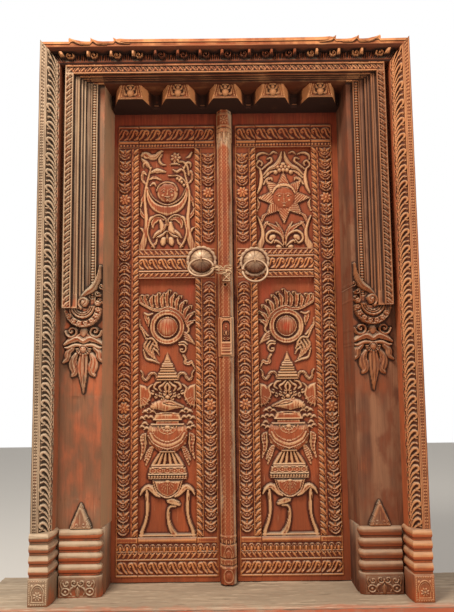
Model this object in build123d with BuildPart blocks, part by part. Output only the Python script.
from build123d import *
import os
from math import atan2, cos, degrees, hypot, radians, sin, sqrt

os.makedirs("parts", exist_ok=True)

# Carved double door of a temple, with its double timber frame.
# Millimetres. X to the right seen from the front, Y into the building, Z up.
# The origin lies on the underside of the threshold, on the centreline, in the
# plane of the fronts of the outer base blocks.

# Driving dimensions
# Threshold
sill_length = 1960
sill_height = 120
sill_nose = 35
sill_back = 425
sill_arris = 7
# Clearances
seat = 0.3
pivot_clearance = 0.05
leaf_clearance = 2
leaf_foot_gap = 3
meeting_gap = 4
# Outer frame, heights above the threshold's top
outer_half = 765
outer_top = 2250
outer_front = 20
outer_back = 200
bead_strip = 30
eave_strip = 34
splay = 44
cavetto_rise = 56
eave_sag = 12
eave_tip = 17
eave_tip_pitch = 92
eave_tip_first = 470
# Inner frame
plank_front = 140
frame_back = 310
opening_half = 500
reveal_splay = 16
plank_strip = 27
head_clear = 2037
bracket_height = 63
rope_width = 33
rope_rise = 38
rope_front = 65
fillet_width = 23
fillet_rise = 7
fillet_front = 84
line_width = 11
line_rise = 4
line_front = 99
line_groove = 9
band_width = 20
band_rise = 3.5
band_front = 118
string_width = 27
string_rise = 3.5
string_front = 121
# Brackets under the lintel
bracket_pitch = 203
bracket_top_width = 90
bracket_foot_width = 107
bracket_back_width = 176
bracket_depth = 110
bracket_count = 5
# Garland that ends the mouldings of the inner jambs
garland_height = 1135
garland_outer = 76
garland_inner = 50
curl_height = 1250
# Moulded bases
torus_count = 4
outer_block_height = 100
outer_torus = 30
outer_groove = 11
inner_block_height = 80
inner_torus = 33
inner_groove = 11
groove_depth = 13
inner_base_front = 110
inner_base_outer = 675
inner_base_inner = 523
inner_base_return = 16
outer_base_inner = 689
outer_base_return = 8
outer_base_side = 60
gable_width = 86
gable_height = 102
# Tenons of the inner jambs
tenon_width = 60
tenon_depth = 70
tenon_length = 45
# Head beam behind the lintel, with its pegs
head_beam_height = 150
head_beam_depth = 112
head_beam_half = 650
peg_side = 24
peg_height = 100
peg_place = 300
peg_bite = 50
# Leaves
leaf_thickness = 50
leaf_lap = 20
pivot_x = 530
pivot_radius = 18
pivot_length = 40
mirror_line = -4.5
panel_near = 136.5
panel_far = 385.5
rope_bead = 24
rope_proud = 7
rosette_near = 76
rosette_far = 447.5
rosette_radius = 25
rosette_height = 9
rosette_pitch = 51
rosette_sides = 4
rosette_taper = 32
meeting_edge = 27
panel_recess = 20
panel_tongue = 12
panel_thickness = 22
groove_bite = 8
rail_tenon = 40
rail_tenon_thickness = 16
bottom_rail_top = 185
mid_rail_bottom = 1286
mid_rail_top = 1418
top_rail_bottom = 1877
band_edge = 7
# Carved figures on the panels, heights above the threshold's top
disc_height = 1074
disc_radius = 75
disc_hollow = 54
disc_dome = 44
pot_height = 595
table_height = 352
moon_height = 1679
moon_radius = 49
sun_height = 1650
sun_radius = 118
sun_hollow = 70
sun_face = 56
figure_margin = 3
# Sides of the many-sided forms
disc_sides = 20
knob_sides = 12
# Meeting post
post_width = 70
post_proud = 54
post_bevel = 19
post_bevel_depth = 27
# Ring pulls
left_boss_place = 108
right_boss_place = 124.5
left_boss_height = 1363
right_boss_height = 1356
boss_radius = 67.5
petal_depth = 7
boss_rim = 7
dome_radius = 47
dome_height = 27
dome_crown = 9
petal_count = 16
eye_wire = 3.2
eye_stem = 14
ring_outer = 59
ring_wire = 5.7
ring_eye_clearance = 1.2
bar_arris = 0.55
left_ring_lift = 36
right_ring_lift = 20
link_wire = 2.6
link_length = 38
link_width = 23
link_twist = 70
link_slack = 0.9
ring_slack = 1.6
chain_end_x = 19.5
chain_end_y = 241
chain_end_z = 1310
padlock_width = 38
padlock_height = 38
padlock_thickness = 22
padlock_x = -4
padlock_arris = 2.5
shackle_wire = 2.5
shackle_bow = 7.5
shackle_slack = 2.5
shackle_leg = 12
lock_throat = 6

# Derived places
top = sill_height
outer_inner = outer_half - bead_strip - splay
outer_foot = outer_top - eave_strip - cavetto_rise
outer_mitre = Plane(
    origin=(outer_half, 0, top + outer_top), x_dir=(0, 1, 0),
    z_dir=(eave_strip + cavetto_rise, 0, -(bead_strip + splay)))
outer_mitre_left = Plane(
    origin=(-outer_half, 0, top + outer_top), x_dir=(0, 1, 0),
    z_dir=(-(eave_strip + cavetto_rise), 0, -(bead_strip + splay)))
leaf_front = frame_back + leaf_clearance
leaf_back = leaf_front + leaf_thickness
pivot_y = leaf_front + leaf_thickness / 2
leaf_foot = top + leaf_foot_gap
leaf_head = top + head_clear + leaf_lap
plank_edge = opening_half + reveal_splay
lintel_foot = top + head_clear + bracket_height
right_edge = meeting_edge + meeting_gap
post_centre = meeting_edge - post_width / 2
tenon_x = plank_edge + 60
tenon_y = plank_front + 85

# The inner frame's mouldings from the inside out: width on the jamb, rise on
# the lintel, and the depth of the front
steps = [
    (string_width, string_rise, string_front),
    (band_width, band_rise, band_front),
    (line_width, line_rise, line_front + line_groove),
    (line_width, line_rise, line_front),
    (fillet_width, fillet_rise, fillet_front),
    (rope_width, rope_rise, rope_front),
]
step_x = [plank_edge + plank_strip]
step_z = [lintel_foot]
for width, rise, _ in steps:
    step_x.append(step_x[-1] + width)
    step_z.append(step_z[-1] + rise)


def fascia(y):
    """Upright plane at depth y whose sketches read x to the right and z up."""
    return Plane.XZ.offset(-y)


def oblong(length, width, turns=4):
    """Corners of an oblong with many-sided ends, along the sketch's x axis."""
    r = width / 2
    corners = []
    for end in (1, -1):
        for i in range(turns + 1):
            a = radians(-90 + 180 * i / turns)
            corners.append((end * (length / 2 - r + r * cos(a)), end * r * sin(a)))
    return corners


def petals(outer, inner, count, blunt):
    """Corners of a ring of petals; blunt is the share of each that stays full."""
    corners = []
    for i in range(count):
        middle = 90 + 360 * i / count
        corners.append((inner, middle - 180 / count))
        if blunt:
            corners += [(outer, middle - 180 * blunt / count), (outer, middle + 180 * blunt / count)]
        else:
            corners.append((outer, middle))
    return [(r * cos(radians(a)), r * sin(radians(a))) for r, a in corners]


def ribbon(points, first, middle, last):
    """Outline of a bent ribbon: its centre line and its widths along it."""
    flanks = [], []
    for i, (x, z) in enumerate(points):
        x0, z0 = points[max(i - 1, 0)]
        x1, z1 = points[min(i + 1, len(points) - 1)]
        share = i / (len(points) - 1)
        ends = first if share < 0.5 else last
        half = (middle + (ends - middle) * abs(2 * share - 1)) / 2
        run = hypot(x1 - x0, z1 - z0)
        across = ((z0 - z1) / run * half, (x1 - x0) / run * half)
        flanks[0].append((x + across[0], z + across[1]))
        flanks[1].append((x - across[0], z - across[1]))
    return flanks[0] + flanks[1][::-1]


def base_stack(plan, block, torus, groove):
    """Carved block with four torus mouldings and grooves, from the threshold up."""
    layers = []
    with BuildPart() as foot:
        with BuildSketch(Plane.XY.offset(top)):
            Polygon(*plan(0), align=None)
        extrude(amount=block)
    layers.append(foot.part)
    for i in range(torus_count):
        z = top + block + i * (torus + groove)
        with BuildPart() as neck:
            with BuildSketch(Plane.XY.offset(z)):
                Polygon(*plan(groove_depth), align=None)
            extrude(amount=groove)
        with BuildPart() as roll:
            with BuildSketch(Plane.XY.offset(z + groove)):
                Polygon(*plan(0), align=None)
            extrude(amount=torus)
            back = max(p[1] for p in plan(0))
            rims = roll.edges().filter_by(lambda e: abs(e.center().Y - back) > 12)
            rims = rims.filter_by(Axis.Z, reverse=True)
            chamfer(rims, length=torus * 0.3, length2=torus * 0.3)
        layers += [neck.part, roll.part]
    return layers


def outer_base_plan(inset):
    """Plan of an outer base, with its receding side."""
    return [
        (outer_half - 1, plank_front - seat), (outer_half - 1, inset),
        (outer_base_inner + inset / 2, inset),
        (outer_base_inner - outer_base_return + inset, outer_base_side),
        (outer_base_inner - outer_base_return + inset, plank_front - seat)]


def inner_base_plan(inset):
    """Plan of an inner base, with its short return into the doorway."""
    edge = inner_base_inner - inner_base_return
    depth = inner_base_front + inner_base_return + 30
    return [
        (inner_base_outer, depth), (inner_base_outer, inner_base_front + inset),
        (inner_base_inner + inset / 2, inner_base_front + inset),
        (edge + inset, inner_base_front + inner_base_return + inset / 2),
        (edge + inset, depth)]


# Threshold with mortises for the jambs and sockets for the leaves' pivots
with BuildPart() as threshold:
    with BuildSketch(Plane.XY):
        with Locations((0, (sill_back - sill_nose) / 2)):
            Rectangle(sill_length, sill_back + sill_nose)
    extrude(amount=sill_height)
    arris = threshold.edges().filter_by(Axis.X).group_by(Axis.Z)[-1]
    chamfer(arris.sort_by(Axis.Y)[0], length=sill_arris)
    with BuildSketch(Plane.XY.offset(top)):
        with Locations((tenon_x, tenon_y), (-tenon_x, tenon_y)):
            Rectangle(tenon_width + 2 * seat, tenon_depth + 2 * seat)
    extrude(amount=-(tenon_length + seat), mode=Mode.SUBTRACT)
    with BuildSketch(Plane.XY.offset(top)):
        with Locations((pivot_x, pivot_y), (-pivot_x, pivot_y)):
            Circle(pivot_radius + pivot_clearance)
    extrude(amount=-(pivot_length - leaf_foot_gap + seat), mode=Mode.SUBTRACT)

# Outer jambs: a bead strip on the front, a splayed face for the scroll band
outer_base = base_stack(
    outer_base_plan, outer_block_height, outer_torus, outer_groove)
with BuildPart() as right_outer_jamb:
    with BuildSketch(Plane.XY.offset(top)):
        Polygon(
            (outer_half, outer_front), (outer_half, outer_back),
            (outer_inner, outer_back), (outer_inner, outer_front + splay),
            (outer_half - bead_strip, outer_front), align=None)
    extrude(amount=outer_top)
    split(bisect_by=outer_mitre, keep=Keep.TOP)
    add(outer_base)

left_outer_jamb_part = mirror(right_outer_jamb.part, about=Plane.YZ)

# Outer lintel: eave strip with upturned tips, hollow moulding beneath
tip_places = [eave_tip_first + i * eave_tip_pitch for i in range(3)]
eave_line = [(outer_half, outer_top), (outer_half - bead_strip, outer_top)]
for place in reversed(tip_places):
    eave_line += [
        (place + 35, outer_top - eave_sag),
        (place + 3, outer_top - eave_sag + eave_tip),
        (place, outer_top - eave_sag + eave_tip),
        (place - 22, outer_top - eave_sag + 3)]
eave_line.append((eave_tip_first - 40, outer_top - eave_sag / 2))
eave_points = [(x, top + z) for x, z in eave_line]
eave_points += [(-x, z) for x, z in reversed(eave_points)]
eave_points += [(-outer_half, top + outer_top - eave_strip), (outer_half, top + outer_top - eave_strip)]
hollow_end = outer_inner - 12
with BuildPart() as outer_lintel:
    with BuildSketch(Plane.YZ.offset(-outer_half)):
        Polygon(
            (outer_front + 8, top + outer_top - eave_sag), (outer_back, top + outer_top - eave_sag),
            (outer_back, top + outer_foot), (outer_front + splay, top + outer_foot),
            (outer_front, top + outer_top - eave_strip),
            (outer_front, top + outer_top - eave_sag), align=None)
    extrude(amount=2 * outer_half)
    with BuildSketch(fascia(outer_front)):
        Polygon(*eave_points, align=None)
    extrude(amount=-26)
    with BuildSketch(Plane.YZ.offset(-hollow_end)):
        with BuildLine():
            a = (outer_front + 9, top + outer_top - eave_strip - 9)
            b = (outer_front + splay - 6, top + outer_foot + 8)
            Line(a, b)
            ThreePointArc(b, (outer_front + splay + 3, top + outer_top - eave_strip - 12), a)
        make_face()
    extrude(amount=2 * hollow_end, mode=Mode.SUBTRACT)
    split(bisect_by=outer_mitre, keep=Keep.BOTTOM)
    split(bisect_by=outer_mitre_left, keep=Keep.BOTTOM)

# Inner jambs: a plank with stepped mouldings that end in a garland
inner_base = base_stack(
    inner_base_plan, inner_block_height, inner_torus, inner_groove)
inner_base_top = top + inner_block_height + torus_count * (inner_torus + inner_groove)
gable_x = (inner_base_outer + inner_base_inner) / 2 - 4
garland_x = (step_x[0] + step_x[-1]) / 2 - 14
with BuildPart() as right_inner_jamb:
    with BuildSketch(Plane.XY.offset(top)):
        Polygon(
            (outer_inner - seat, plank_front), (plank_edge, plank_front),
            (opening_half, frame_back), (outer_inner - seat, frame_back), align=None)
    extrude(amount=lintel_foot - top)
    for i, (width, rise, front) in enumerate(steps):
        low = garland_height if i in (0, 5) else curl_height
        with BuildSketch(fascia(front)):
            Polygon(
                (step_x[i], top + low), (step_x[i + 1], top + low),
                (step_x[i + 1], step_z[i + 1]), (step_x[i], step_z[i]), align=None)
        extrude(amount=-(plank_front - front))
    with BuildSketch(fascia(line_front)):
        with Locations((garland_x, top + garland_height)):
            RegularPolygon(garland_outer, disc_sides)
            RegularPolygon(garland_inner, disc_sides, mode=Mode.SUBTRACT)
            with Locations((0, garland_outer)):
                Rectangle(2.2 * garland_outer, 2 * garland_outer, mode=Mode.SUBTRACT)
    extrude(amount=-(plank_front - line_front))
    # Pendant below the garland: volutes, collar, mask and hanging leaves
    with BuildSketch(fascia(plank_front)):
        for side in (-1, 1):
            with Locations((garland_x + side * 48, top + 1038)):
                RegularPolygon(25, knob_sides)
            with Locations((garland_x + side * 52, top + 955)):
                Polygon(*oblong(64, 40), rotation=90, align=None)
        with Locations((garland_x, top + 1040)):
            Rectangle(38, 42)
    extrude(amount=26, taper=14)
    with BuildSketch(fascia(plank_front)):
        with BuildLine():
            Polyline(
                (garland_x - 74, top + 1010), (garland_x, top + 1020), (garland_x + 74, top + 1010),
                (garland_x + 66, top + 980), (garland_x + 34, top + 968),
                (garland_x + 26, top + 850), (garland_x, top + 792), (garland_x - 26, top + 850),
                (garland_x - 34, top + 968), (garland_x - 66, top + 980), close=True)
        make_face()
    extrude(amount=17, taper=10)
    with BuildSketch(fascia(plank_front)):
        with Locations((garland_x, top + 948)):
            RegularPolygon(32, knob_sides)
    extrude(amount=34, taper=22)
    add(inner_base)
    with BuildSketch(fascia(inner_base_front + 8)):
        Polygon(
            (gable_x - gable_width / 2, inner_base_top - 2),
            (gable_x + gable_width / 2, inner_base_top - 2),
            (gable_x, inner_base_top + gable_height), align=None)
    extrude(amount=-(plank_front - inner_base_front - 8 + 1))
    with BuildSketch(Plane.XY.offset(top)):
        with Locations((tenon_x, tenon_y)):
            Rectangle(tenon_width, tenon_depth)
    extrude(amount=-tenon_length)
    with BuildSketch(Plane.XY.offset(lintel_foot)):
        with Locations((tenon_x, tenon_y)):
            Rectangle(tenon_width, tenon_depth)
    extrude(amount=tenon_length)

left_inner_jamb_part = mirror(right_inner_jamb.part, about=Plane.YZ)

# Inner lintel: mitred mouldings over five brackets with splayed recesses between
bracket_places = [bracket_pitch * (i - (bracket_count - 1) / 2) for i in range(bracket_count)]
recesses = []
for left, right in zip(bracket_places[:-1], bracket_places[1:]):
    recesses.append((left, right, left + bracket_back_width / 2, right - bracket_back_width / 2))
end_place = bracket_places[-1]
with BuildPart() as inner_lintel:
    with BuildSketch(fascia(plank_front)):
        with Locations((0, (lintel_foot + top + outer_foot - seat) / 2)):
            Rectangle(2 * (outer_inner - seat), top + outer_foot - seat - lintel_foot)
    extrude(amount=-(frame_back - plank_front))
    with BuildSketch(fascia(outer_back + seat)):
        with Locations((0, (lintel_foot + top + outer_top) / 2)):
            Rectangle(2 * (outer_inner - seat), top + outer_top - lintel_foot)
    extrude(amount=-(frame_back - outer_back - seat))
    for i, (width, rise, front) in enumerate(steps):
        high = min(step_z[i + 1], top + outer_foot - seat)
        share = (high - step_z[i]) / rise
        wide = step_x[i] + share * width
        with BuildSketch(fascia(front)):
            Polygon(
                (-wide, high), (-step_x[i], step_z[i]), (step_x[i], step_z[i]), (wide, high),
                align=None)
        extrude(amount=-(plank_front - front))
    with BuildSketch(fascia(plank_front)):
        with Locations((0, lintel_foot - bracket_height / 2)):
            Rectangle(2 * (opening_half - seat), bracket_height)
    extrude(amount=-(frame_back - plank_front))
    with BuildSketch(Plane.XY.offset(lintel_foot)):
        with Locations((tenon_x, tenon_y), (-tenon_x, tenon_y)):
            Rectangle(tenon_width + 2 * seat, tenon_depth + 2 * seat)
    extrude(amount=tenon_length + seat, mode=Mode.SUBTRACT)
    for left, right, back_left, back_right in recesses:
        for level, width in ((lintel_foot - bracket_height, bracket_foot_width),
                             (lintel_foot, bracket_top_width)):
            with BuildSketch(Plane.XY.offset(level)):
                Polygon(
                    (left + width / 2, plank_front), (right - width / 2, plank_front),
                    (back_right, plank_front + bracket_depth),
                    (back_left, plank_front + bracket_depth), align=None)
        loft(ruled=True, mode=Mode.SUBTRACT)
    for side in (-1, 1):
        for level, width in ((lintel_foot - bracket_height, bracket_foot_width),
                             (lintel_foot, bracket_top_width)):
            with BuildSketch(Plane.XY.offset(level)):
                Polygon(
                    (side * (end_place + width / 2), plank_front),
                    (side * (opening_half + 5), plank_front),
                    (side * (opening_half + 5), plank_front + bracket_depth),
                    (side * (end_place + bracket_back_width / 2), plank_front + bracket_depth),
                    align=None)
        loft(ruled=True, mode=Mode.SUBTRACT)
    for place in bracket_places:
        with BuildSketch(fascia(plank_front)):
            with Locations((place, lintel_foot - bracket_height * 0.55)):
                RegularPolygon(bracket_height * 0.3, 6)
        extrude(amount=12, taper=35)
    with BuildSketch(fascia(frame_back)):
        with Locations((peg_place, leaf_head + peg_height), (-peg_place, leaf_head + peg_height)):
            Rectangle(peg_side + 2 * seat, peg_side + 2 * seat)
    extrude(amount=peg_bite + seat, mode=Mode.SUBTRACT)

# Head beam behind the lintel, bored for the upper pivots
with BuildPart() as head_beam:
    with BuildSketch(Plane.XY.offset(leaf_head + leaf_foot_gap)):
        with Locations((0, frame_back + head_beam_depth / 2)):
            Rectangle(2 * head_beam_half, head_beam_depth)
        with Locations((pivot_x, pivot_y), (-pivot_x, pivot_y)):
            Circle(pivot_radius + pivot_clearance, mode=Mode.SUBTRACT)
    extrude(amount=pivot_length)
    with BuildSketch(Plane.XY.offset(leaf_head + leaf_foot_gap + pivot_length)):
        with Locations((0, frame_back + head_beam_depth / 2)):
            Rectangle(2 * head_beam_half, head_beam_depth)
    extrude(amount=head_beam_height - pivot_length)
    with BuildSketch(fascia(frame_back)):
        with Locations((peg_place, leaf_head + peg_height), (-peg_place, leaf_head + peg_height)):
            Rectangle(peg_side + 2 * seat, peg_side + 2 * seat)
    extrude(amount=-head_beam_depth, mode=Mode.SUBTRACT)

with BuildPart() as right_peg:
    with BuildSketch(fascia(frame_back - peg_bite)):
        with Locations((peg_place, leaf_head + peg_height)):
            Rectangle(peg_side, peg_side)
    extrude(amount=-(peg_bite + head_beam_depth + 12))

left_peg_part = mirror(right_peg.part, about=Plane.YZ)


def leaf_x(side, v):
    """Place on a leaf, v away from the line about which the carving mirrors."""
    return mirror_line + side * v


def band(side, v0, v1, z0, z1, proud=rope_proud, depth=leaf_front):
    """Raised strip on the front of a leaf, with sloping flanks."""
    with BuildSketch(fascia(depth)) as strip:
        with Locations((leaf_x(side, (v0 + v1) / 2), top + (z0 + z1) / 2)):
            Rectangle(abs(v1 - v0), z1 - z0)
    extrude(strip.sketch, amount=proud, taper=20)


def rosettes(side, v, z0, z1):
    """Column of tapered rosettes at one pitch."""
    count = int((z1 - z0) // rosette_pitch)
    start = (z0 + z1 - (count - 1) * rosette_pitch) / 2
    with BuildSketch(fascia(leaf_front)) as column:
        with Locations(*[(leaf_x(side, v), top + start + i * rosette_pitch) for i in range(count)]):
            RegularPolygon(rosette_radius, rosette_sides)
    extrude(column.sketch, amount=rosette_height, taper=rosette_taper)


leaf_height = leaf_head - leaf_foot
groove_z0 = bottom_rail_top - groove_bite
rails = {
    "bottom": (leaf_foot - top, bottom_rail_top),
    "mid": (mid_rail_bottom, mid_rail_top),
    "top": (top_rail_bottom, leaf_head - top)}
panels = {"lower": (bottom_rail_top, mid_rail_bottom), "upper": (mid_rail_top, top_rail_bottom)}
groove_mid = leaf_front + panel_recess + panel_tongue / 2


def grooves_and_mortises(side, v, direction):
    """Grooves for both panels and mortises for the three rails in a stile's edge."""
    edge = Plane.YZ.offset(leaf_x(side, v))
    sign = side * direction
    with BuildSketch(edge) as grooves:
        for z0, z1 in panels.values():
            with Locations((groove_mid, top + (z0 + z1) / 2)):
                Rectangle(panel_tongue + 2 * seat, z1 - z0 + 2 * groove_bite)
    extrude(grooves.sketch, amount=sign * groove_bite, mode=Mode.SUBTRACT)
    with BuildSketch(edge) as mortises:
        for z0, z1 in rails.values():
            with Locations((pivot_y, top + (z0 + z1) / 2)):
                Rectangle(rail_tenon_thickness + 2 * seat, (z1 - z0) * 0.6 + 2 * seat)
    extrude(mortises.sketch, amount=sign * (rail_tenon + seat), mode=Mode.SUBTRACT)


def hinge_stile(side):
    """Stile with a rounded back edge and a round pivot at each end."""
    with BuildPart() as stile:
        inner = leaf_x(side, panel_far)
        with BuildSketch(Plane.XY.offset(leaf_foot)):
            with Locations(((inner + side * pivot_x) / 2, pivot_y)):
                Rectangle(abs(side * pivot_x - inner), leaf_thickness)
            with Locations((side * pivot_x, pivot_y)):
                Circle(leaf_thickness / 2)
        extrude(amount=leaf_height)
        for level, reach in ((leaf_foot, -pivot_length), (leaf_head, pivot_length)):
            with BuildSketch(Plane.XY.offset(level)):
                with Locations((side * pivot_x, pivot_y)):
                    Circle(pivot_radius)
            extrude(amount=reach)
        band(side, panel_far, panel_far + rope_bead, bottom_rail_top, top_rail_bottom)
        rosettes(side, rosette_far, bottom_rail_top, top_rail_bottom)
        for z in (28, 91, 127, top_rail_bottom, 1905, 1977):
            band(side, panel_far, 480, z, z + band_edge, 4)
        grooves_and_mortises(side, panel_far, 1)
    return stile.part


def meeting_stile(side):
    """Stile next to the meeting line."""
    edge = meeting_edge if side < 0 else right_edge
    with BuildPart() as stile:
        inner = leaf_x(side, panel_near)
        with BuildSketch(Plane.XY.offset(leaf_foot)):
            with Locations(((inner + edge) / 2, pivot_y)):
                Rectangle(abs(inner - edge), leaf_thickness)
        extrude(amount=leaf_height)
        band(side, panel_near - rope_bead, panel_near, bottom_rail_top, mid_rail_bottom)
        band(side, panel_near - rope_bead, panel_near, mid_rail_top, top_rail_bottom)
        rosettes(side, rosette_near, bottom_rail_top, mid_rail_bottom)
        rosettes(side, rosette_near, mid_rail_top + 8, top_rail_bottom)
        for z in (28, 91, 127, top_rail_bottom, 1905, 1977):
            band(side, 46, panel_near, z, z + band_edge, 4)
        grooves_and_mortises(side, panel_near, -1)
    return stile.part


def rail(side, name, edges):
    """Rail between the stiles, with a tenon at each end and a groove for each panel."""
    z0, z1 = rails[name]
    middle = leaf_x(side, (panel_near + panel_far) / 2)
    length = panel_far - panel_near - 2 * seat
    with BuildPart() as bar:
        with BuildSketch(fascia(leaf_front)):
            with Locations((middle, top + (z0 + z1) / 2)):
                Rectangle(length, z1 - z0)
        extrude(amount=-leaf_thickness)
        with BuildSketch(fascia(pivot_y - rail_tenon_thickness / 2)):
            with Locations((middle, top + (z0 + z1) / 2)):
                Rectangle(length + 2 * rail_tenon, (z1 - z0) * 0.6)
        extrude(amount=-rail_tenon_thickness)
        for z in edges:
            band(side, panel_near + 1, panel_far - 1, z, z + band_edge, 5)
        with BuildSketch(fascia(groove_mid - panel_tongue / 2 - seat)):
            for level in (z0, z1):
                if level in (bottom_rail_top, mid_rail_bottom, mid_rail_top, top_rail_bottom):
                    with Locations((middle, top + level)):
                        Rectangle(length, 2 * groove_bite)
        extrude(amount=-(panel_tongue + 2 * seat), mode=Mode.SUBTRACT)
    return bar.part


def panel_blank(side, name):
    """Panel with a tongue round it and a carved field between the rails."""
    z0, z1 = panels[name]
    middle = leaf_x(side, (panel_near + panel_far) / 2)
    with BuildSketch(fascia(groove_mid - panel_tongue / 2)) as blank:
        with Locations((middle, top + (z0 + z1) / 2)):
            Rectangle(
                panel_far - panel_near + 2 * (groove_bite - seat),
                z1 - z0 + 2 * (groove_bite - seat))
    extrude(blank.sketch, amount=-panel_tongue)


field = fascia(groove_mid - panel_tongue / 2)
panel_half = (panel_far - panel_near) / 2 - figure_margin


class Carver:
    """Raises figures from the field of a panel; the right leaf mirrors the left."""

    def __init__(self, side, height):
        self.side = side
        self.x = leaf_x(side, (panel_near + panel_far) / 2)
        self.z = top + height
        self.figures = []

    def place(self, dx, dz):
        return (self.x - self.side * max(-panel_half, min(panel_half, dx)), self.z + dz)

    def shape(self, points, rise, taper=0):
        with BuildSketch(field) as figure:
            Polygon(*[self.place(*p) for p in points], align=None)
        self.figures.append(extrude(figure.sketch, amount=rise, taper=taper, mode=Mode.PRIVATE))

    def strand(self, points, widths, rise):
        self.shape(ribbon(points, *widths), rise)

    def pair(self, points, widths, rise):
        """The same ribbon on both sides of the panel's middle."""
        for s in (-1, 1):
            self.strand([(s * dx, dz) for dx, dz in points], widths, rise)

    def disc(self, dx, dz, radius, sides, rise, taper, hollow=0):
        with BuildSketch(field) as figure:
            with Locations(self.place(dx, dz)):
                RegularPolygon(radius, sides, rotation=180 / sides)
                if hollow:
                    RegularPolygon(hollow, sides, rotation=180 / sides, mode=Mode.SUBTRACT)
        self.figures.append(extrude(figure.sketch, amount=rise, taper=taper, mode=Mode.PRIVATE))

    def bar(self, dz, foot, head, height, rise, taper=10):
        """Level bar about the panel's middle, its foot and head half as wide as given."""
        self.shape([(-foot, dz - height / 2), (foot, dz - height / 2),
                    (head, dz + height / 2), (-head, dz + height / 2)], rise, taper)


def flaming_disc(carve):
    """Domed disc under a crest of flames, with leaves and ribbons about it."""
    carve.disc(0, 0, disc_radius, disc_sides, 15, 18, hollow=disc_hollow)
    carve.disc(0, 0, disc_dome, disc_sides, 16, 40)
    rim = disc_radius + 11
    carve.strand([(-118, 104), (-64, rim - 10), (0, rim), (rim * 0.66, rim * 0.66), (rim, 4)],
                 (16, 20, 16), 9)
    flames = [((-102, 108), (-112, 136)), ((-78, 94), (-86, 142)), ((-50, 88), (-50, 143)),
              ((-24, 92), (-20, 150)), ((4, 96), (8, 164)), ((30, 88), (36, 146)),
              ((54, 72), (66, 126)), ((72, 48), (94, 92)), ((86, 22), (114, 50))]
    for foot, tip in flames:
        carve.strand([foot, tip], (21, 15, 9), 11)
    carve.strand([(-94, 60), (-84, 34), (-83, 6)], (28, 18, 9), 9)
    carve.strand([(-119, 34), (-113, 4), (-86, -38)], (9, 15, 11), 8)
    carve.strand([(-82, -60), (-76, -106), (-38, -150)], (30, 54, 12), 11)
    carve.strand([(68, -30), (92, -52), (116, -80)], (38, 32, 12), 11)
    carve.strand([(54, -80), (80, -84), (84, -112), (58, -124)], (10, 14, 10), 10)
    carve.strand([(68, -128), (84, -156), (100, -156), (118, -182)], (13, 15, 9), 9)


def finial(carve):
    """Tiered spire on a cloud of curls, between wavy ribbons and two fans."""
    carve.shape([(-14, -150), (14, -150), (3, -114), (-3, -114)], 10, 6)
    for half, dz, height, rise in ((18, -154, 9, 11), (26, -168, 15, 13), (33, -189, 17, 15),
                                   (44, -217, 22, 17)):
        carve.bar(dz, half, half - 3, height, rise)
    carve.pair([(50, -224), (58, -202), (77, -203), (90, -228), (105, -222), (115, -190)],
               (11, 13, 9), 9)
    carve.bar(-252, 46, 24, 34, 10)
    carve.pair([(20, -262), (44, -254), (58, -276), (44, -298), (24, -290)], (16, 18, 12), 13)
    for s in (-1, 1):
        carve.shape([(s * 121, -250), (s * 92, -262), (s * 72, -300), (s * 92, -334),
                     (s * 121, -330)][::s], 11, 14)


def full_pot(carve):
    """Conch over the brim of a swagged pot on its fluted foot and lotus tiers."""
    carve.shape([(-66, 144), (-46, 159), (0, 163), (34, 147), (71, 136), (68, 127), (42, 124),
                 (12, 111), (-24, 111), (-58, 126)], 16)
    carve.pair([(58, 102), (84, 112), (110, 104)], (12, 20, 10), 9)
    carve.pair([(66, 74), (92, 78), (112, 60)], (10, 18, 10), 9)
    carve.bar(90, 61, 50, 30, 15)
    carve.bar(67, 48, 48, 17, 12, 4)
    carve.shape([(-70, 58), (-86, 40), (-88, 6), (-74, -30), (-34, -60), (34, -60), (74, -30),
                 (88, 6), (86, 40), (70, 58)], 16, 18)
    carve.strand([(-70, 16), (-42, -20), (0, -34), (42, -20), (70, 16)], (12, 18, 12), 19)
    carve.shape([(-36, 52), (-26, 26), (0, 14), (26, 26), (36, 52)], 19, 8)
    carve.pair([(100, 8), (99, -40), (114, -86)], (20, 20, 11), 10)
    carve.pair([(62, -46), (78, -84), (92, -116)], (22, 25, 12), 12)
    carve.bar(-90, 69, 39, 46, 15)
    carve.bar(-146, 84, 76, 36, 18)
    carve.bar(-169, 87, 87, 10, 16)


def curved_table(carve):
    """Palmette between the shoulders of a low table with curved legs and a hook."""
    carve.shape([(-58, 64), (-48, 26), (-24, 2), (0, -6), (24, 2), (48, 26), (58, 64)], 15, 14)
    carve.pair([(112, 18), (80, 34), (38, 4)], (15, 22, 13), 13)
    carve.pair([(88, 22), (84, -62), (97, -122), (110, -158)], (14, 12, 17), 14)
    carve.strand([(46, -30), (10, -22), (1, -62), (10, -112), (28, -156)], (18, 13, 22), 13)
    carve.bar(-160, panel_half - 1, panel_half - 1, 10, 17, 8)


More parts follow.
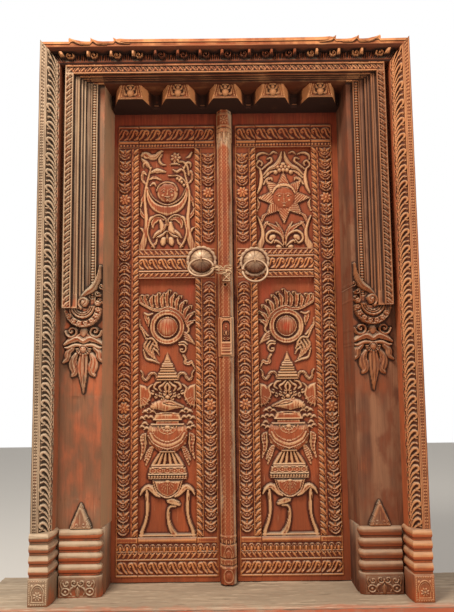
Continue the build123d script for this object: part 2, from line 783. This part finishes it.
def moon(carve):
    """Face in a crescent among stems, with two volutes below."""
    carve.strand([(-90, 18), (-78, -34), (-46, -68), (0, -81), (46, -68), (78, -34), (90, 18)],
                 (9, 46, 9), 10)
    carve.disc(2, 0, moon_radius, knob_sides, 17, 34)
    carve.strand([(-42, 14), (-26, 40), (2, 50), (30, 40), (46, 14)], (10, 12, 10), 13)
    carve.pair([(108, -246), (98, -150), (104, -60), (92, 30), (76, 104)], (26, 13, 10), 10)
    carve.pair([(8, -142), (38, -110), (74, -124), (84, -176), (62, -236)], (11, 14, 16), 12)
    carve.pair([(30, -142), (34, -170), (12, -202)], (26, 24, 10), 10)
    carve.pair([(20, -214), (24, -246)], (22, 26, 26), 11)
    carve.pair([(118, -110), (108, -138), (104, -170)], (9, 16, 10), 9)
    carve.strand([(-110, 180), (-80, 162), (-52, 166), (-26, 186)], (14, 24, 12), 12)
    carve.strand([(-112, 152), (-92, 128), (-82, 104)], (14, 20, 9), 9)
    carve.strand([(-64, 92), (-34, 108), (-4, 106)], (10, 24, 10), 10)
    carve.strand([(22, 112), (48, 118), (78, 106)], (10, 18, 10), 10)
    carve.strand([(8, 172), (60, 160), (86, 116)], (10, 16, 9), 9)
    carve.disc(38, 152, 24, 8, 10, 30)


def sun(carve):
    """Face in a star of eight hatched rays, between leaves."""
    carve.shape(petals(sun_radius, sun_hollow, 8, 0), 10)
    carve.disc(0, 2, sun_face, disc_sides, 17, 34)
    carve.pair([(10, -212), (26, -172), (60, -158), (82, -184), (58, -216)], (13, 20, 16), 12)
    carve.pair([(7, -206), (14, -158), (30, -118)], (12, 18, 10), 10)
    carve.pair([(110, -214), (96, -150), (106, -70)], (22, 15, 10), 10)
    carve.pair([(104, 64), (86, 112), (106, 150), (84, 176)], (11, 14, 11), 10)
    carve.pair([(80, 92), (38, 126), (16, 166), (12, 208)], (11, 22, 10), 11)
    carve.pair([(110, 200), (70, 202), (40, 180)], (12, 18, 10), 9)
    carve.disc(0, 139, 27, 8, 12, 30)


def lower_panel(side):
    """Flaming disc over a tiered finial, a conch, a full pot and its table."""
    above, pot, table = (Carver(side, z) for z in (disc_height, pot_height, table_height))
    flaming_disc(above)
    finial(above)
    full_pot(pot)
    curved_table(table)
    with BuildPart() as board:
        panel_blank(side, "lower")
        add(above.figures + pot.figures + table.figures)
    return board.part


def upper_panel(side):
    """Moon in a crescent on one leaf, an eight-pointed sun on the other."""
    if side > 0:
        carve = Carver(side, sun_height)
        sun(carve)
    else:
        carve = Carver(side, moon_height)
        moon(carve)
    with BuildPart() as board:
        panel_blank(side, "upper")
        add(carve.figures)
    return board.part


rail_edges = {
    "bottom": (28, 91, 127, 160),
    "mid": (mid_rail_bottom + 6, mid_rail_bottom + 34, mid_rail_top - 42, mid_rail_top - 14),
    "top": (1880, 1905, 1977)}
pieces = {}
for side, word in ((-1, "left"), (1, "right")):
    pieces[word + "_hinge_stile"] = hinge_stile(side)
    pieces[word + "_meeting_stile"] = meeting_stile(side)
    for name in rails:
        pieces[word + "_" + name + "_rail"] = rail(side, name, rail_edges[name])
    pieces[word + "_lower_panel"] = lower_panel(side)
    pieces[word + "_upper_panel"] = upper_panel(side)

# Post that covers the meeting line, fixed to the left leaf
post_half = post_width / 2


def post_plan(grow):
    """Half-octagon plan of the post, grown on its front and its left."""
    w = post_half + grow
    front = leaf_front - post_proud - grow
    return [
        (post_centre - w, leaf_front), (post_centre - w, front + post_bevel_depth),
        (post_centre - w + post_bevel, front), (post_centre + w - post_bevel, front),
        (post_centre + w, front + post_bevel_depth), (post_centre + w, leaf_front)]


with BuildPart() as meeting_post:
    with BuildSketch(Plane.XY.offset(leaf_foot)):
        Polygon(*post_plan(-3), align=None)
    extrude(amount=leaf_height - 30)
    for z0, z1 in ((0, 72), (84, 92), (1000, 1012), (1842, 1862), (1950, 2020)):
        with BuildSketch(Plane.XY.offset(leaf_foot + z0)):
            Polygon(*post_plan(0), align=None)
        extrude(amount=z1 - z0)
    for z0, z1, low, high in ((92, 110, 0, -3), (120, 166, -3, 0), (1862, 1950, -3, 0)):
        with BuildSketch(Plane.XY.offset(leaf_foot + z0)):
            Polygon(*post_plan(low), align=None)
        with BuildSketch(Plane.XY.offset(leaf_foot + z1)):
            Polygon(*post_plan(high), align=None)
        loft(ruled=True)
    plaque_front = leaf_front - post_proud + 3
    with BuildSketch(fascia(plaque_front)):
        with Locations((post_centre, leaf_foot + 1020)):
            Rectangle(post_width - 2 * post_bevel + 8, 150)
    extrude(amount=-12)
    with BuildSketch(fascia(plaque_front + 1)):
        with Locations((post_centre, leaf_foot + 1035)):
            Polygon(*oblong(60, 22), rotation=90, align=None)
    extrude(amount=5, taper=20)
pieces["meeting_post"] = meeting_post.part


def boss(x, z):
    """Plate of blunt petals under a dome, whose crown carries the eye."""
    rim_y = leaf_front - rope_proud - boss_rim
    cap = (dome_radius ** 2 + dome_height ** 2) / (2 * dome_height)
    with BuildPart() as plate:
        with BuildSketch(fascia(leaf_front - rope_proud)):
            with Locations((x, z)):
                Polygon(*petals(boss_radius, boss_radius - petal_depth, petal_count, 0.5), align=None)
        extrude(amount=boss_rim)
        with BuildSketch(fascia(leaf_front)):
            with Locations((x, z)):
                RegularPolygon(dome_radius / 2, knob_sides)
        extrude(amount=rope_proud)
        steps_up = [share * dome_height for share in (0, 0.35, 0.65, 0.87, 1)]
        chords = [max(sqrt(max(cap ** 2 - (cap - dome_height + rise) ** 2, 0)), dome_crown) for rise in steps_up]
        for i, rise in enumerate(steps_up[:-1]):
            height = steps_up[i + 1] - rise
            inset = (chords[i] - chords[i + 1]) * cos(radians(180 / knob_sides))
            with BuildSketch(fascia(rim_y - rise)):
                with Locations((x, z)):
                    RegularPolygon(chords[i], knob_sides)
            extrude(amount=height, taper=degrees(atan2(inset, height)))
    return plate.part


eye_y = leaf_front - rope_proud - boss_rim - dome_height - eye_stem
eye_radius = ring_wire + ring_eye_clearance + eye_wire
ring_radius = ring_outer - ring_wire


def eye(x, z):
    """Eye of forged bar that stands out of the dome, its hole along X."""
    with BuildPart() as staple:
        with BuildSketch(Plane(origin=(x - eye_wire, eye_y, z), x_dir=(0, 1, 0), z_dir=(1, 0, 0))):
            RegularPolygon(eye_radius + eye_wire, knob_sides)
            RegularPolygon(eye_radius - eye_wire, knob_sides, major_radius=False, mode=Mode.SUBTRACT)
        extrude(amount=2 * eye_wire)
        chamfer(staple.edges().filter_by(Axis.X, reverse=True), length=eye_wire * bar_arris)
        with BuildSketch(fascia(eye_y + eye_radius)):
            with Locations((x, z)):
                RegularPolygon(eye_wire, 8)
        extrude(amount=-(eye_stem - eye_radius - seat))
    return staple.part


def ring(x, z, lift):
    """Ring of forged bar, hanging from its eye and lifted by an angle."""
    with BuildPart() as loop:
        with BuildSketch(fascia(eye_y - ring_wire)):
            with Locations((x, z - ring_radius)):
                RegularPolygon(ring_outer, disc_sides)
                RegularPolygon(ring_outer - 2 * ring_wire, disc_sides, mode=Mode.SUBTRACT)
        extrude(amount=-2 * ring_wire)
        chamfer(loop.edges().filter_by(Axis.Y, reverse=True), length=ring_wire * bar_arris)
    return loop.part.rotate(Axis((x, eye_y, z), (1, 0, 0)), -lift)


def link(centre, along, flat):
    """Chain link of forged bar, from its centre and two directions."""
    hollow = 4 * link_wire
    with BuildPart() as loop:
        with BuildSketch(Plane(origin=centre - flat * link_wire, x_dir=along, z_dir=flat)):
            Polygon(*oblong(link_length, link_width), align=None)
            Polygon(*oblong(link_length - hollow, link_width - hollow), align=None, mode=Mode.SUBTRACT)
        extrude(amount=2 * link_wire)
        rims = loop.edges().filter_by(Axis((0, 0, 0), flat), reverse=True)
        chamfer(rims, length=link_wire * bar_arris)
    return loop.part


def chain(x, z, lift, side, target, count):
    """Links from the side of a ring towards a point, each turned by the twist."""
    down = Vector(0, -sin(radians(lift)), -cos(radians(lift)))
    start = Vector(x, eye_y, z) + down * ring_radius + Vector(side * ring_radius, 0, 0)
    along = (Vector(*target) - start).normalized()
    flat = (down - along * down.dot(along)).normalized()
    reach = -(ring_wire + ring_slack + 2 * link_wire)
    links = []
    for i in range(count):
        centre = start + along * (reach + link_length / 2)
        links.append(link(centre, along, flat.rotate(Axis((0, 0, 0), along), side * i * link_twist)))
        reach += link_length - 4 * link_wire - link_slack
    return links


boss_x = {"left": leaf_x(-1, left_boss_place), "right": leaf_x(1, right_boss_place)}
boss_z = {"left": top + left_boss_height, "right": top + right_boss_height}
ring_lift = {"left": left_ring_lift, "right": right_ring_lift}
for word in boss_x:
    pieces[word + "_boss"] = boss(boss_x[word], boss_z[word])
    pieces[word + "_eye"] = eye(boss_x[word], boss_z[word])
    pieces[word + "_ring"] = ring(boss_x[word], boss_z[word], ring_lift[word])
chain_end = (chain_end_x, chain_end_y, top + chain_end_z)
left_links = chain(boss_x["left"], boss_z["left"], left_ring_lift, 1, chain_end, 3)
right_links = chain(boss_x["right"], boss_z["right"], right_ring_lift, -1, chain_end, 1)
pieces["left_chain"] = Compound(children=left_links)
pieces["right_chain"] = right_links[0]

# Padlock that hangs from the last link of the left half of the chain
lock_link = left_links[-1].bounding_box()
lock_y = (lock_link.min.Y + lock_link.max.Y) / 2
bow_z = lock_link.min.Z + 2 * link_wire + shackle_slack + shackle_wire
lock_top = bow_z - shackle_bow - lock_throat
turns = [radians(30 * i) for i in range(7)]
outer_bow = [((shackle_bow + shackle_wire) * cos(a), (shackle_bow + shackle_wire) * sin(a)) for a in turns]
inner_bow = [((shackle_bow - shackle_wire) * cos(a), (shackle_bow - shackle_wire) * sin(a)) for a in turns]
with BuildPart() as shackle:
    with BuildSketch(Plane(
            origin=(padlock_x - shackle_wire, lock_y, bow_z - shackle_bow), x_dir=(0, 1, 0), z_dir=(1, 0, 0))):
        Polygon(
            (shackle_bow + shackle_wire, -shackle_leg), *outer_bow, (-shackle_bow - shackle_wire, -shackle_leg),
            (-shackle_bow + shackle_wire, -shackle_leg), *inner_bow[::-1],
            (shackle_bow - shackle_wire, -shackle_leg), align=None)
    extrude(amount=2 * shackle_wire)
    arrises = shackle.edges().filter_by(Axis.X, reverse=True)
    chamfer(arrises.filter_by(lambda e: e.center().Z > lock_top - lock_throat), length=shackle_wire * bar_arris)
with BuildPart() as padlock:
    with BuildSketch(Plane.XY.offset(lock_top)):
        with Locations((padlock_x, lock_y)):
            Rectangle(padlock_width, padlock_thickness)
    extrude(amount=-padlock_height)
    chamfer(padlock.edges().filter_by(Axis.Z), length=padlock_arris)
    with BuildSketch(Plane.XY.offset(lock_top)):
        with Locations((padlock_x, lock_y - shackle_bow), (padlock_x, lock_y + shackle_bow)):
            Rectangle(2 * (shackle_wire + pivot_clearance), 2 * (shackle_wire + pivot_clearance))
    extrude(amount=-(shackle_leg - lock_throat + seat), mode=Mode.SUBTRACT)
pieces["padlock"] = padlock.part
pieces["shackle"] = shackle.part

# The finished pieces
for piece_name, piece in (
        ("threshold", threshold.part), ("right_outer_jamb", right_outer_jamb.part),
        ("left_outer_jamb", left_outer_jamb_part), ("outer_lintel", outer_lintel.part),
        ("right_inner_jamb", right_inner_jamb.part), ("left_inner_jamb", left_inner_jamb_part),
        ("inner_lintel", inner_lintel.part), ("head_beam", head_beam.part),
        ("right_peg", right_peg.part), ("left_peg", left_peg_part)):
    pieces[piece_name] = piece
for piece_name, piece in pieces.items():
    piece.label = piece_name
    export_step(piece, "parts/" + piece_name + ".step")
